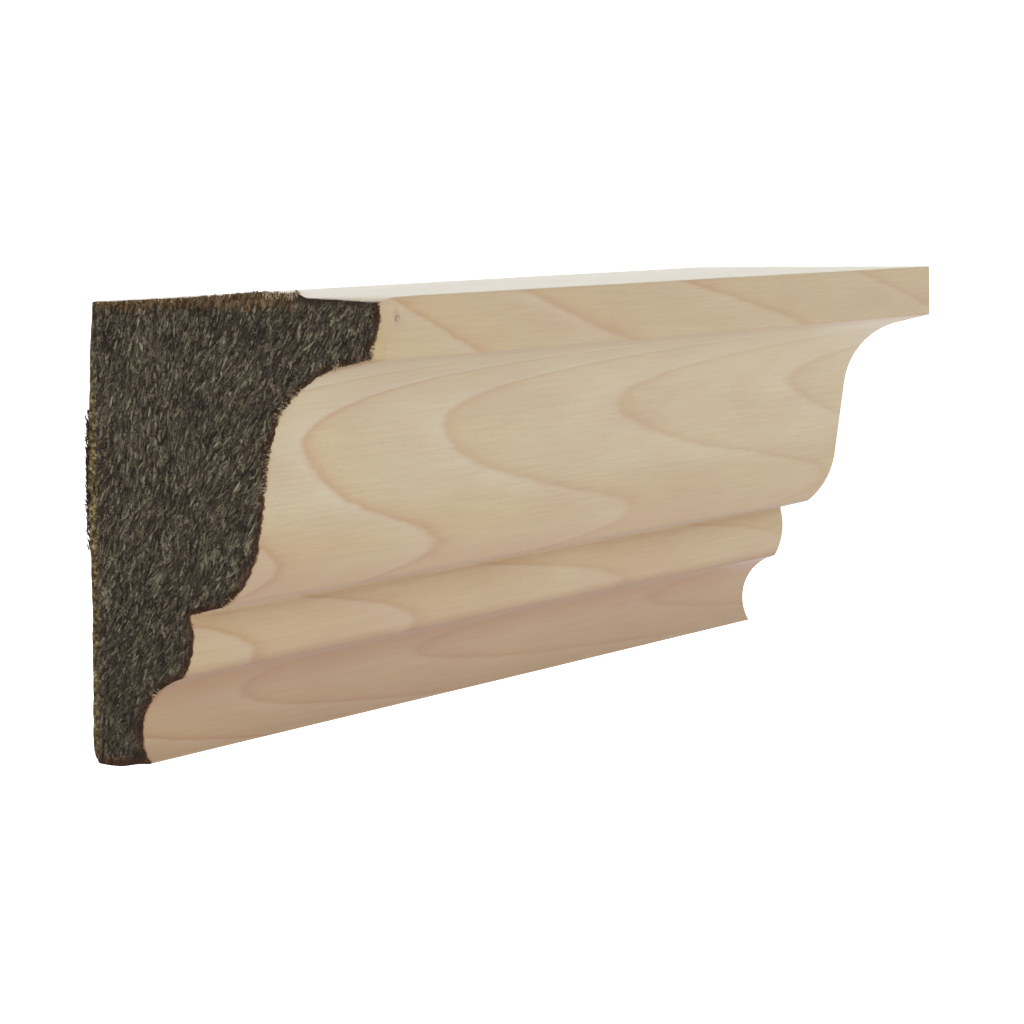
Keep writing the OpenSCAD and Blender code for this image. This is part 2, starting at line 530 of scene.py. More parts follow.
def add_rings(tree, place):
    """The number of rings from the first late-wood line at each place: whole numbers are the lines
    themselves."""
    axes = add(tree, "SeparateXYZ", {"Vector": place})
    x, out, up = axes["X"], axes["Y"], axes["Z"]
    rise = add(tree, "Math", {0: x, 1: -RING_LEAN, 2: -RING_UP}, operation="MULTIPLY_ADD")[0]
    rise = add(tree, "Math", {0: up, 1: rise}, operation="ADD")[0]
    back = add(tree, "Math", {0: out, 1: RING_BACK}, operation="ADD")[0]
    arm = add(tree, "CombineXYZ", {"X": rise, "Y": back})[0]
    radius = add(tree, "VectorMath", {0: arm}, operation="LENGTH")["Value"]
    drift = add(tree, "Math", {0: x, 1: DRIFT[2], 2: DRIFT[1]}, operation="MULTIPLY_ADD")[0]
    drift = add(tree, "Math", {0: drift, 1: x, 2: DRIFT[0]}, operation="MULTIPLY_ADD")[0]
    drift = add(tree, "Math", {0: drift, 1: x, 2: RING_BACK}, operation="MULTIPLY_ADD")[0]
    swing = add(tree, "Math", {0: x, 1: WAVE_ALONG, 2: WAVE_START}, operation="MULTIPLY_ADD")[0]
    swing = add(tree, "Math", {0: up, 1: WAVE_UP, 2: swing}, operation="MULTIPLY_ADD")[0]
    swing = add(tree, "Math", {0: swing}, operation="SINE")[0]
    swing = add(tree, "Math", {0: swing, 1: WAVE, 2: radius}, operation="MULTIPLY_ADD")[0]
    rho = add(tree, "Math", {0: swing, 1: drift}, operation="SUBTRACT")[0]

    # Two wavers: one 60 mm long and 9 mm across, and one 9 mm long and 1 mm across. Each is half its size
    # on average, which is taken off again.
    slow = drawn_noise(tree, place, (0.016, 0.11, 0.11), 2.0, 0.5)
    quick = drawn_noise(tree, place, (0.11, 0.9, 0.9), 3.0, 0.6)
    rho = add(tree, "Math", {0: slow, 1: SLOW_WAVER, 2: rho}, operation="MULTIPLY_ADD")[0]
    rho = add(tree, "Math", {0: quick, 1: QUICK_WAVER, 2: rho}, operation="MULTIPLY_ADD")[0]
    first = RING_FIRST + (SLOW_WAVER + QUICK_WAVER) / 2.0
    count = add(tree, "Math", {0: rho, 1: -1.0 / RING_GAP, 2: first / RING_GAP}, operation="MULTIPLY_ADD")[0]
    return count, axes


def add_maple(tree, place):
    """The colour of clean maple, and the height of its fibre in mm. The colour follows the ring: a thin
    pinkish-brown line, a deeper band after it, and a paler band before the next. Over it lie faint
    streaks, dark flecks and slow cloudy changes of tone, and the wood is pinker and darker towards the
    foot, partly as heartwood and partly as painted shade."""
    count, axes = add_rings(tree, place)
    turn = add(tree, "Math", {0: count, 1: 0.5}, operation="ADD")[0]
    turn = add(tree, "Math", {0: turn}, operation="FRACT")[0]
    ringed = add(tree, "ValToRGB", {"Fac": turn}, stops=[
        (0.0, "#dacdac"), (1.0, "#dacdac"), (0.2, "#dbceae"), (0.36, "#ded2b9"), (0.44, "#dfd5c0"),
        (0.47, "#dbcdb6"), (0.51, "#ceae84"), (0.54, "#d1b48b"), (0.59, "#d6c39c"),
        (0.7, "#d9caa6")])["Color"]
    # The lines grow fainter away from the torn end, and no two rings are alike.
    which = add(tree, "Math", {0: count}, operation="FLOOR")[0]
    luck = add(tree, "TexWhiteNoise", {"W": which}, noise_dimensions="1D")["Value"]
    luck = add(tree, "Math", {0: luck, 1: 0.35, 2: 0.65}, operation="MULTIPLY_ADD")[0]
    strength = add(tree, "MapRange", {"Value": axes["X"], "From Min": 80.0, "From Max": 250.0, "To Min": 1.0,
                                      "To Max": 0.5})[0]
    strength = add(tree, "Math", {0: strength, 1: luck}, operation="MULTIPLY")[0]
    tone = add(tree, "Mix", {"Factor": strength, "A": linear("#dacdad"), "B": ringed}, **FADE)[2]

    # Clouds of tone, 40 mm long and 8 mm across.
    cloud = drawn_noise(tree, place, (0.024, 0.13, 0.13), 3.0, 0.55)
    cloud = add(tree, "ValToRGB", {"Fac": cloud}, stops=[(0.30, "#f6ece4"), (0.70, "#fffef6")])["Color"]
    tone = add(tree, "Mix", {"Factor": 1.0, "A": tone, "B": cloud}, **TINT)[2]
    # Up the board the wood goes from pinkish heart at the foot to cream sapwood in the middle, and is a
    # little deeper again at the top. The darker, pinker stops at the scotia and bead and just under the belly
    # are also painted shade, standing for the shade on those low, hollow and down-facing parts.
    heart_tone_and_shade = add(tree, "Math", {0: axes["Z"], 1: HEIGHT}, operation="DIVIDE")[0]
    heart_tone_and_shade = add(tree, "ValToRGB", {"Fac": heart_tone_and_shade}, stops=[
        (0.00, "#dac6b5"), (1.00, "#f5ebdc"), (0.12, "#d5bda5"), (0.17, "#dec9b0"), (0.21, "#efe2cd"),
        (0.25, "#f5ebdb"), (0.33, "#f4e8d6"), (0.38, "#ead9c1"), (0.45, "#f4e9d8"), (0.54, "#ffffff"),
        (0.82, "#ffffff"), (0.90, "#f5ebdc")])["Color"]
    tone = add(tree, "Mix", {"Factor": 1.0, "A": tone, "B": heart_tone_and_shade}, **TINT)[2]

    # Fibre: bundles a third of a millimetre across and 15 mm long.
    fibre = drawn_noise(tree, place, (0.065, 3.0, 3.0), 3.0, 0.6)
    shade = add(tree, "ValToRGB", {"Fac": fibre}, stops=[(0.25, "#f4ece2"), (0.75, "#ffffff")])["Color"]
    tone = add(tree, "Mix", {"Factor": 1.0, "A": tone, "B": shade}, **TINT)[2]
    # Vessel flecks: maple's are 0.1 mm wide, and to show they are drawn 0.18 mm wide and 1.5 mm long.
    fleck = drawn_noise(tree, place, (0.65, 5.5, 5.5), 1.0, 0.5)
    fleck = add(tree, "MapRange", {"Value": fleck, "From Min": 0.60, "From Max": 0.74, "To Max": 0.22})[0]
    tone = add(tree, "Mix", {"Factor": fleck, "A": tone, "B": linear("#b08a62")}, **FADE)[2]
    height = add(tree, "Math", {0: fleck, 1: -0.04}, operation="MULTIPLY")[0]
    height = add(tree, "Math", {0: fibre, 1: 0.010, 2: height}, operation="MULTIPLY_ADD")[0]
    return tone, height, axes


KNIFE_PITCH = 1.3
KNIFE_DEPTH = 0.003
# The middle of the painted shade round the dent: along, out and up.
DENT_SHADE_CENTRE = (5.6, PROJECTION, HEIGHT - 2.4)


def maple_moulded():
    """Clean maple as the moulder's knives leave it: matt, with knife marks KNIFE_PITCH apart and
    KNIFE_DEPTH deep. Stain has crept a few tenths of a millimetre round the arris from the torn end, and
    farther along the top one. Its colour also carries painted shade in the creases of the moulded face
    and round the dent."""
    made, tree, place = new_material("hard_maple_moulded")
    tone, height, axes = add_maple(tree, place)
    creep = drawn_noise(tree, place, (0.3, 1.6, 1.6), 3.0, 0.6)
    creep = add(tree, "Math", {0: creep, 1: 1.5, 2: -0.35}, operation="MULTIPLY_ADD")[0]
    creep = add(tree, "Math", {0: creep, 1: axes["X"]}, operation="SUBTRACT")[0]
    top = add(tree, "MapRange", {"Value": axes["Z"], "From Min": HEIGHT - 0.7, "From Max": HEIGHT - 0.1,
                                 "To Max": 0.8})[0]
    creep = add(tree, "Math", {0: creep, 1: top}, operation="ADD")[0]
    creep = add(tree, "MapRange", {"Value": creep, "From Min": -0.08, "From Max": 0.12})[0]
    tone = add(tree, "Mix", {"Factor": creep, "A": tone, "B": linear("#6b4c2f")}, **FADE)[2]
    # Painted shade in the creases of the moulded face: brown bands under the fascia, under the lip and in
    # the quirk between the bead and the scotia, where shade falls. The flat back has none.
    painted_crease_shade = add(tree, "Math", {0: axes["Z"], 1: HEIGHT}, operation="DIVIDE")[0]
    painted_crease_shade = add(tree, "ValToRGB", {"Fac": painted_crease_shade}, stops=[
        (0.110, "#ffffff"), (0.873, "#ffffff"), (0.150, "#f0d6b6"), (0.172, "#dcbc94"), (0.187, "#c8a074"),
        (0.191, "#e2cdb2"), (0.200, "#f1e6d8"), (0.212, "#ffffff"), (0.319, "#ffffff"), (0.324, "#d3b692"),
        (0.341, "#ccad85"), (0.352, "#ebd8b5"), (0.375, "#f9f0e0"), (0.400, "#ffffff"), (0.835, "#ffffff"),
        (0.853, "#eddfca"), (0.863, "#e2ccb2"), (0.868, "#fff8ee")])["Color"]
    faced = add(tree, "MapRange", {"Value": axes["Y"], "From Min": 3.0, "From Max": 5.0})[0]
    tone = add(tree, "Mix", {"Factor": faced, "A": tone, "B": painted_crease_shade}, **TINT)[2]
    # Painted shade round the dent: a soft brown patch that stands for the shade in and beside the hollow.
    dent_shade = add(tree, "VectorMath", {0: place, 1: DENT_SHADE_CENTRE}, operation="DISTANCE")["Value"]
    dent_shade = add(tree, "MapRange", {"Value": dent_shade, "From Min": 0.5, "From Max": 1.5, "To Min": 0.5,
                                    "To Max": 0.0})[0]
    tone = add(tree, "Mix", {"Factor": dent_shade, "A": tone, "B": linear("#b88a5e")}, **FADE)[2]
    knife = add(tree, "Math", {0: axes["X"], 1: WHOLE_TURN / KNIFE_PITCH}, operation="MULTIPLY")[0]
    knife = add(tree, "Math", {0: knife}, operation="SINE")[0]
    height = add(tree, "Math", {0: knife, 1: KNIFE_DEPTH / 2.0, 2: height}, operation="MULTIPLY_ADD")[0]
    surface(tree, {"Base Color": tone, "Roughness": 0.48, "IOR": 1.5, "Sheen Weight": 0.3,
                   "Sheen Roughness": 0.25}, height)
    return made


def maple_torn_and_stained():
    """End grain torn by a coarse saw, under a nearly black water stain. Stain sinks between the fibres
    and leaves their tips grey-brown, and thins to red-brown and amber at the rim, where the wood was
    harder or the brush missed."""
    made, tree, place = new_material("maple_end_grain_stained")
    axes = add(tree, "SeparateXYZ", {"Vector": place})
    swirl = add(tree, "TexNoise", {"Vector": place, "Scale": 0.13, "Detail": 1.0})["Color"]
    swirl = add(tree, "VectorMath", {0: swirl, 1: (0.0, 6.0, 3.0), 2: place}, operation="MULTIPLY_ADD")[0]
    # Turned so that the streaks stand upright, then drawn out: 0.4 mm across and 2 mm long.
    leant = add(tree, "Mapping", {"Vector": swirl, "Rotation": (np.pi / 2.0 - STREAK_LEAN, 0.0, 0.0)})[0]
    streak = drawn_noise(tree, leant, (1.0, 2.3, 0.50), 2.0, 0.55)
    grit = add(tree, "TexNoise", {"Vector": place, "Scale": 3.2, "Detail": 2.0, "Roughness": 0.6})["Fac"]
    fibre = add(tree, "Math", {0: grit, 1: 0.35}, operation="MULTIPLY")[0]
    fibre = add(tree, "Math", {0: streak, 1: 0.65, 2: fibre}, operation="MULTIPLY_ADD")[0]
    dark = add(tree, "ValToRGB", {"Fac": fibre}, stops=[
        (0.36, "#211913"), (0.66, "#aaa18c"), (0.43, "#41382e"), (0.50, "#5d5346"),
        (0.58, "#807766")])["Color"]
    pit = add(tree, "MapRange", {"Value": grit, "From Min": 0.36, "From Max": 0.46, "To Min": 0.8,
                                 "To Max": 0.0})[0]
    dark = add(tree, "Mix", {"Factor": pit, "A": dark, "B": linear("#1a1109")}, **FADE)[2]
    # The stain dried in patches 3 mm across, some a little green and some a little purple.
    patchy = add(tree, "TexNoise", {"Vector": place, "Scale": 0.33, "Detail": 2.0})["Fac"]
    patchy = add(tree, "ValToRGB", {"Fac": patchy}, stops=[(0.38, "#f8fcee"), (0.62, "#fff4f1")])["Color"]
    dark = add(tree, "Mix", {"Factor": 1.0, "A": dark, "B": patchy}, **TINT)[2]
    # Rim: red-brown under the moulded face, amber along the back, both ragged.
    ragged = add(tree, "TexNoise", {"Vector": place, "Scale": 1.7, "Detail": 3.0, "Roughness": 0.65})["Fac"]
    rim = add(tree, "Attribute", attribute_name="rim")["Fac"]
    rim = add(tree, "Math", {0: ragged, 1: 1.6, 2: rim}, operation="MULTIPLY_ADD")[0]
    rim = add(tree, "MapRange", {"Value": rim, "From Min": 1.05, "From Max": 2.15, "To Min": 1.0,
                                 "To Max": 0.0})[0]
    red = add(tree, "ValToRGB", {"Fac": fibre}, stops=[(0.38, "#2a150c"), (0.62, "#5e3c26")])["Color"]
    dark = add(tree, "Mix", {"Factor": rim, "A": dark, "B": red}, **FADE)[2]
    back = add(tree, "Math", {0: ragged, 1: 2.4, 2: axes["Y"]}, operation="MULTIPLY_ADD")[0]
    thin = add(tree, "MapRange", {"Value": axes["Z"], "From Min": 38.0, "From Max": 50.0, "To Max": 0.4})[0]
    back = add(tree, "Math", {0: back, 1: thin}, operation="ADD")[0]
    back = add(tree, "MapRange", {"Value": back, "From Min": 1.55, "From Max": 2.2, "To Min": 0.95,
                                  "To Max": 0.0})[0]
    patch = add(tree, "TexNoise", {"Vector": place, "Scale": 1.9, "Detail": 2.0, "Roughness": 0.7})["Fac"]
    amber = add(tree, "ValToRGB", {"Fac": patch}, stops=[
        (0.36, "#352414"), (0.66, "#c8ba8c"), (0.45, "#644c29"), (0.55, "#937f48")])["Color"]
    dark = add(tree, "Mix", {"Factor": back, "A": dark, "B": amber}, **FADE)[2]
    # Along the top arris the stain is thin and tan at the back, and thick and dark brown at the front.
    top = add(tree, "Math", {0: ragged, 1: -1.8, 2: axes["Z"]}, operation="MULTIPLY_ADD")[0]
    top = add(tree, "MapRange", {"Value": top, "From Min": HEIGHT - 2.4, "From Max": HEIGHT - 1.4,
                                 "To Max": 0.9})[0]
    front = add(tree, "MapRange", {"Value": axes["Y"], "From Min": 23.0, "From Max": 28.0})[0]
    tan = add(tree, "ValToRGB", {"Fac": fibre}, stops=[(0.38, "#4e3a22"), (0.62, "#937c54")])["Color"]
    tan = add(tree, "Mix", {"Factor": front, "A": tan, "B": linear("#2c1a10")}, **FADE)[2]
    dark = add(tree, "Mix", {"Factor": top, "A": dark, "B": tan}, **FADE)[2]
    # The brush was fuller at the foot, so the stain is a little deeper there.
    foot = add(tree, "MapRange", {"Value": axes["Z"], "From Min": 8.0, "From Max": 26.0, "To Min": 0.24,
                                  "To Max": 0.0})[0]
    dark = add(tree, "Mix", {"Factor": foot, "A": dark, "B": linear("#241a12")}, **FADE)[2]
    height = add(tree, "Math", {0: fibre, 1: 0.10}, operation="MULTIPLY")[0]
    surface(tree, {"Base Color": dark, "Roughness": 0.8, "IOR": 1.45, "Specular IOR Level": 0.25}, height)
    return made


def maple_sawn():
    """Bare end grain from a fine saw: the same rings seen across, darker than the face because end grain
    drinks light, with pores as pin pricks and saw lines 0.9 mm apart."""
    made, tree, place = new_material("maple_end_grain_sawn")
    tone, _, _ = add_maple(tree, place)
    pore = add(tree, "TexNoise", {"Vector": place, "Scale": 4.5, "Detail": 1.0})["Fac"]
    pore = add(tree, "MapRange", {"Value": pore, "From Min": 0.58, "From Max": 0.70, "To Max": 0.5})[0]
    tone = add(tree, "Mix", {"Factor": 1.0, "A": tone, "B": linear("#efe0cd")}, **TINT)[2]
    tone = add(tree, "Mix", {"Factor": pore, "A": tone, "B": linear("#8f6b48")}, **FADE)[2]
    saw = add(tree, "Mapping", {"Vector": place, "Rotation": (0.12, 0.0, 0.0)})[0]
    saw = drawn_noise(tree, saw, (0.0, 0.02, 1.1), 3.0, 0.7)
    mark = add(tree, "MapRange", {"Value": saw, "From Min": 0.35, "From Max": 0.65, "To Min": 0.22,
                                  "To Max": 0.0})[0]
    tone = add(tree, "Mix", {"Factor": mark, "A": tone, "B": linear("#a98561")}, **FADE)[2]
    height = add(tree, "Math", {0: saw, 1: 0.05}, operation="MULTIPLY")[0]
    height = add(tree, "Math", {0: pore, 1: -0.03, 2: height}, operation="MULTIPLY_ADD")[0]
    surface(tree, {"Base Color": tone, "Roughness": 0.65, "IOR": 1.5}, height)
    return made


for wood in (maple_moulded(), maple_torn_and_stained(), maple_sawn()):
    moulding.data.materials.append(wood)
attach(moulding, "root")
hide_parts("moulding")

# ----------------------------------------
# The torn fibres
# Short slivers of maple fibre that the saw pulled up from the end and left lying one way, under
# the same stain, and pale frayed ones that stand out round its edges. They are part of the wood.
# ----------------------------------------

# How many slivers of each kind there are, and the least and greatest of their lengths and widths.
FIBRE_COUNT = 3600
FRAY_COUNT = 900
BURR_COUNT = 1100
BACK_BURR_COUNT = 420
DENT_COUNT = 24
FIBRE_LENGTHS = (0.7, 2.8)
FIBRE_WIDTHS = (0.20, 0.50)
FRAY_LENGTHS = (0.45, 1.15)
FRAY_WIDTHS = (0.10, 0.20)
BURR_WIDTHS = (0.12, 0.30)
BACK_BURR_LENGTHS = (0.5, 1.3)
BACK_BURR_WIDTHS = (0.12, 0.24)
DENT_LENGTHS = (0.35, 0.9)
DENT_WIDTHS = (0.12, 0.22)


def sliver_mesh(root, way, outward, length, width, curl):
    """Slivers, one for each row of root: a spindle along way, with a point at either end and two
    three-sided rings between. The rings sit at -0.4 and 0.35 of the half length and are up to width
    across and 0.6 width deep towards outward, and curl bends both tips sideways, along way x outward."""
    sideways = unit(np.cross(way, outward))
    step = np.array([-1.0, -0.4, -0.4, -0.4, 0.35, 0.35, 0.35, 1.0])
    wide = np.array([0.0, -0.5, 0.5, 0.0, -0.45, 0.45, 0.0, 0.0])
    deep = np.array([0.0, -0.2, -0.2, 0.4, -0.2, -0.2, 0.4, 0.0])
    half = (length / 2.0)[:, None, None]
    points = (root[:, None] + way[:, None] * step[None, :, None] * half
              + sideways[:, None] * (wide[None, :, None] * width[:, None, None]
                                     + curl[:, None, None] * (step[None, :, None] ** 2) * half)
              + outward[:, None] * deep[None, :, None] * width[:, None, None])
    corners = np.array([[0, 2, 1], [0, 3, 2], [0, 1, 3], [1, 2, 5], [1, 5, 4], [2, 3, 6], [2, 6, 5],
                        [3, 1, 4], [3, 4, 6], [7, 4, 5], [7, 5, 6], [7, 6, 4]])
    faces = corners[None] + 8 * np.arange(len(root))[:, None, None]
    return points.reshape(-1, 3), faces.reshape(-1, 3)


def face_out(up):
    """How far the clean moulded face stands out from the wall at each height."""
    return sharp_outline(np.interp(-up, -row_height, row_along))[..., 0]


def on_torn_end(out, up):
    """Where a clean place on the section comes to on the torn end, once worn."""
    along = np.interp(-up, -row_height, row_along)
    return worn(0.0, along, out, up, np.maximum(face_out(up) - out, 0.0), out)


# Under the top arris the saw left the wood smooth from here out to the front.
SMOOTH_FROM = 27.0


def lying_fibres(draw):
    """Fibres lying on the torn end: places spread evenly over the section, pointing up the streaks give
    or take 14 degrees and a slow swirl, and kept only if both tips are well inside the edges. Tone 0 to 1
    is how much of the stain each has thrown off: least at the foot. Those under the top arris are brown,
    and there are none under its front quarter."""
    out, up = (draw.random((4 * FIBRE_COUNT, 2)) * [PROJECTION, HEIGHT]).T
    lean = STREAK_LEAN + draw.normal(0.0, 0.24, len(out)) + 0.35 * lattice_noise(out, up, 9.0, 12.0, 31)
    length = np.clip(draw.lognormal(0.27, 0.36, len(out)), *FIBRE_LENGTHS)
    width = draw.uniform(*FIBRE_WIDTHS, len(out))
    tone = np.clip(draw.normal(0.36, 0.24, len(out)) + 0.16 * lattice_noise(out, up, 2.2, 4.0, 33), 0.0, 1.0)
    tone = tone * (1.0 - 0.25 * np.exp(-up / 14.0))
    lift = np.abs(draw.normal(0.0, 0.06, len(out)))
    curl = draw.normal(0.0, 0.12, len(out))
    spare = 0.4 + 0.8 * draw.random(len(out))
    inside = np.full(len(out), True)
    for tip in (-0.5, 0.5):
        tip_out, tip_up = out + tip * length * np.cos(lean), up + tip * length * np.sin(lean)
        inside &= (tip_up < HEIGHT - 0.1) & (tip_up > 0.5) & (tip_out > 0.2 + spare)
        inside &= tip_out < face_out(np.clip(tip_up - 0.3, 0.0, HEIGHT)) - spare
        inside &= tip_out < face_out(np.clip(tip_up + 0.3, 0.0, HEIGHT)) - spare
    high = up > HEIGHT - 1.6 - 0.5 * lattice_noise(out, up, 1.5, 1.5, 32)
    tone = np.where(high & (out < SMOOTH_FROM), 1.05 + 0.45 * draw.random(len(out)), tone)
    inside &= ~(high & (out > SMOOTH_FROM))
    way = np.stack([-lift, np.cos(lean), np.sin(lean)], axis=-1)
    root = np.stack([torn_depth(out, up) - 0.02, *on_torn_end(out, up)], axis=-1)
    outward = np.tile([-1.0, 0.0, 0.0], (len(out), 1))
    return [values[inside][:FIBRE_COUNT] for values in (root, way, outward, length, width, curl, tone)]


def square_to(way):
    """The direction nearest to straight out of the torn end that is square to each way."""
    return unit(np.array([-1.0, 0.0, 0.0]) + way * way[:, :1])


def frayed_fibres(draw):
    """Frayed fibres along the moulded edge of the torn end: each starts just inside the arris and leans
    out of the end and a little along the edge. They come in tufts, where lattice_noise is high. A quarter
    of those in the thick of a tuft are pale, and the rest are red-brown."""
    along = draw.uniform(corner["top"] + 0.8, corner["foot"], 4 * FRAY_COUNT)
    tuft = lattice_noise(along, 0.0, 1.9, 3.0, 12)
    along = along[tuft + draw.normal(0.0, 0.3, len(along)) > 0.0][:FRAY_COUNT]
    tuft = lattice_noise(along, 0.0, 1.9, 3.0, 12)
    edge_way, edge_out = ways(sharp_outline, along, 0.1)
    in_by = draw.uniform(0.0, 0.55, len(along))[:, None]
    out, up = (sharp_outline(along) - edge_out * (0.10 + in_by)).T
    pale = (tuft > 0.35) & (draw.random(len(along)) < 0.25)
    tilt = np.where(pale, draw.normal(0.3, 0.35, len(along)), draw.normal(0.0, 0.9, len(along)))[:, None]
    inward = np.where(pale, draw.uniform(0.6, 1.0, len(along)), draw.uniform(-0.25, 0.9, len(along)))[:, None]
    flat = edge_way * tilt - edge_out * inward
    way = unit(np.hstack([-draw.uniform(0.02, 0.30, len(along))[:, None], flat]))
    root = np.stack([0.08 + 0.3 * torn_depth(out, up), *on_torn_end(out, up)], axis=-1)
    length = draw.uniform(*FRAY_LENGTHS, len(along))
    width = draw.uniform(*FRAY_WIDTHS, len(along))
    tone = np.where(pale, 1.55 + 0.4 * draw.random(len(along)), 1.0 + 0.25 * draw.random(len(along)))
    return root, way, square_to(way), length, width, draw.normal(0.0, 0.10, len(along)), tone


def burr_fibres(draw):
    """The burr that the saw drew up along the top arris, back of its front quarter: fibres standing nearly
    upright on the edge, taller towards the front, brown, and some of them bleached. A shorter, darker burr
    stands on the back edge at mid height."""
    out = 27.2 * draw.random(BURR_COUNT) ** 0.75
    tall = 0.30 + 0.80 * np.exp(-(((np.clip(out, 0.0, 25.0) - 25.0) / 11.0) ** 2))
    length = tall * draw.uniform(0.6, 1.25, BURR_COUNT)
    lean = draw.normal(1.45, 0.35, BURR_COUNT)
    way = unit(np.stack([draw.uniform(-0.25, 0.15, BURR_COUNT), np.cos(lean), np.sin(lean)], axis=-1))
    _, top_up = on_torn_end(out, np.full(BURR_COUNT, HEIGHT))
    root_in = draw.uniform(0.02, 0.9, BURR_COUNT)
    root = np.stack([root_in, out + 0.15, top_up - 0.12 - 0.3 * draw.random(BURR_COUNT)], axis=-1)
    bleached = draw.random(BURR_COUNT) < 0.14 + 0.4 * (out > 22.5)
    tone = np.where(bleached, 1.55 + 0.4 * draw.random(BURR_COUNT), 1.1 + 0.45 * draw.random(BURR_COUNT))
    width = draw.uniform(*BURR_WIDTHS, BURR_COUNT)

    count = BACK_BURR_COUNT
    up = np.clip(draw.normal(34.5, 4.0, count), 26.5, 43.0)
    lean = draw.normal(STREAK_LEAN + 0.15, 0.3, count)
    back_way = unit(np.stack([draw.uniform(-0.2, 0.1, count), -np.cos(lean), np.sin(lean)], axis=-1))
    back_root = np.stack([draw.uniform(0.1, 1.2, count), draw.uniform(-0.58, -0.25, count), up], axis=-1)
    back_length = draw.uniform(*BACK_BURR_LENGTHS, count)
    back_width = draw.uniform(*BACK_BURR_WIDTHS, count)
    back_curl = draw.normal(0.0, 0.15, count)
    back_tone = np.where(draw.random(count) < 0.15, 1.3, 0.0)
    back = (back_root, back_way, square_to(back_way), back_length, back_width, back_curl, back_tone)
    top = (root, way, square_to(way), length, width, draw.normal(0.0, 0.15, BURR_COUNT), tone)
    return [np.concatenate(pair) for pair in zip(top, back)]


def dent_fibres(draw):
    """The pale fibres that a knock raised in the dent, within about 40 degrees of the grain."""
    count = DENT_COUNT
    root = np.stack([DENT_IN + 0.1 + draw.normal(0.0, 0.45, count), np.full(count, PROJECTION - 0.02),
                     HEIGHT - DENT_DOWN - 0.1 + draw.normal(0.0, 0.15, count)], axis=-1)
    turn = draw.normal(0.1, 0.7, count)
    way = np.stack([np.cos(turn), 0.15 * np.ones(count), np.sin(turn)], axis=-1)
    outward = np.tile([0.0, 1.0, 0.0], (count, 1))
    return (root, way, outward, draw.uniform(*DENT_LENGTHS, count), draw.uniform(*DENT_WIDTHS, count),
            draw.normal(0.0, 0.1, count), np.full(count, 2.0))


hand = np.random.default_rng(58)
sets = [lying_fibres(hand), frayed_fibres(hand), burr_fibres(hand), dent_fibres(hand)]
root, way, outward, length, width, curl, fibre_tone = (np.concatenate(column_of) for column_of in zip(*sets))
fibre_points, fibre_faces = sliver_mesh(root, way, outward, length, width, curl)
# None stands proud of the saw's plane.
fibre_points[:, 0] = np.maximum(fibre_points[:, 0], 0.0)
fibres = mesh_object("torn_fibres", in_metres(fibre_points), fibre_faces)
point_values(fibres, "tone", np.repeat(fibre_tone, 8))


def maple_fibre():
    """Loose maple fibre: tone 0 to 1 runs from soaked in stain to stain thrown off, and 1 to 2 is frayed
    fibre that the stain missed, from red-brown to cream. It is dull and a little fuzzy."""
    made, tree, place = new_material("maple_fibre_torn")
    tone = add(tree, "Attribute", attribute_name="tone")["Fac"]
    soaked = add(tree, "ValToRGB", {"Fac": tone}, stops=[
        (0.0, "#2d251d"), (1.0, "#c2bba4"), (0.35, "#574e41"), (0.70, "#8e866f")])["Color"]
    missed = add(tree, "Math", {0: tone, 1: 1.0}, operation="SUBTRACT")[0]
    bare = add(tree, "ValToRGB", {"Fac": missed}, stops=[
        (0.0, "#3d2515"), (1.0, "#efe7d6"), (0.20, "#5f452a"), (0.45, "#94784e"), (0.65, "#cbb78f")])["Color"]
    above = add(tree, "Math", {0: tone, 1: 1.0}, operation="GREATER_THAN")[0]
    colour = add(tree, "Mix", {"Factor": above, "A": soaked, "B": bare}, **FADE)[2]
    grit = add(tree, "TexNoise", {"Vector": place, "Scale": 5.0, "Detail": 2.0})["Fac"]
    grit = add(tree, "ValToRGB", {"Fac": grit}, stops=[(0.3, "#cfc8bd"), (0.7, "#ffffff")])["Color"]
    colour = add(tree, "Mix", {"Factor": 1.0, "A": colour, "B": grit}, **TINT)[2]
    surface(tree, {"Base Color": colour, "Roughness": 0.75, "IOR": 1.5, "Specular IOR Level": 0.25})
    return made


fibres.data.materials.append(maple_fibre())
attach(fibres, "root")

# ----------------------------------------
# The floor, the light and the camera
# A floor and a round sweep of white acrylic sheet, lit from behind so that they come out white,
# and seven soft boxes hung round the moulding. Sizes in this section are in metres.
# ----------------------------------------

FLOOR_DROP = 0.10
STUDIO_RADIUS = 6.0
SWEEP_RADIUS = STUDIO_RADIUS * 1.05
SWEEP_ROWS = 25
SWEEP_SIDES = 96
FLOOR_GLOW = 0.85
SWEEP_GLOW = 1.0
FILL_STRENGTH = 0.27

floor_z = cad_low.z - FLOOR_DROP
floor_corners = np.array([[-1.0, -1.0, 0.0], [1.0, -1.0, 0.0], [1.0, 1.0, 0.0], [-1.0, 1.0, 0.0]])
floor = mesh_object("floor", floor_corners * STUDIO_RADIUS + [0.0, 0.0, floor_z], np.array([[0, 1, 2, 3]]))


def white_acrylic(name, glow):
    """White sheet lit from behind: plain white, with an even glow."""
    made = bpy.data.materials.new(name)
    made.use_nodes = True
    tree = made.node_tree
    tree.nodes.clear()
    surface(tree, {"Base Color": (0.9, 0.9, 0.9, 1.0), "Roughness": 0.9,
                   "Emission Color": (1.0, 1.0, 1.0, 1.0), "Emission Strength": glow})
    return made


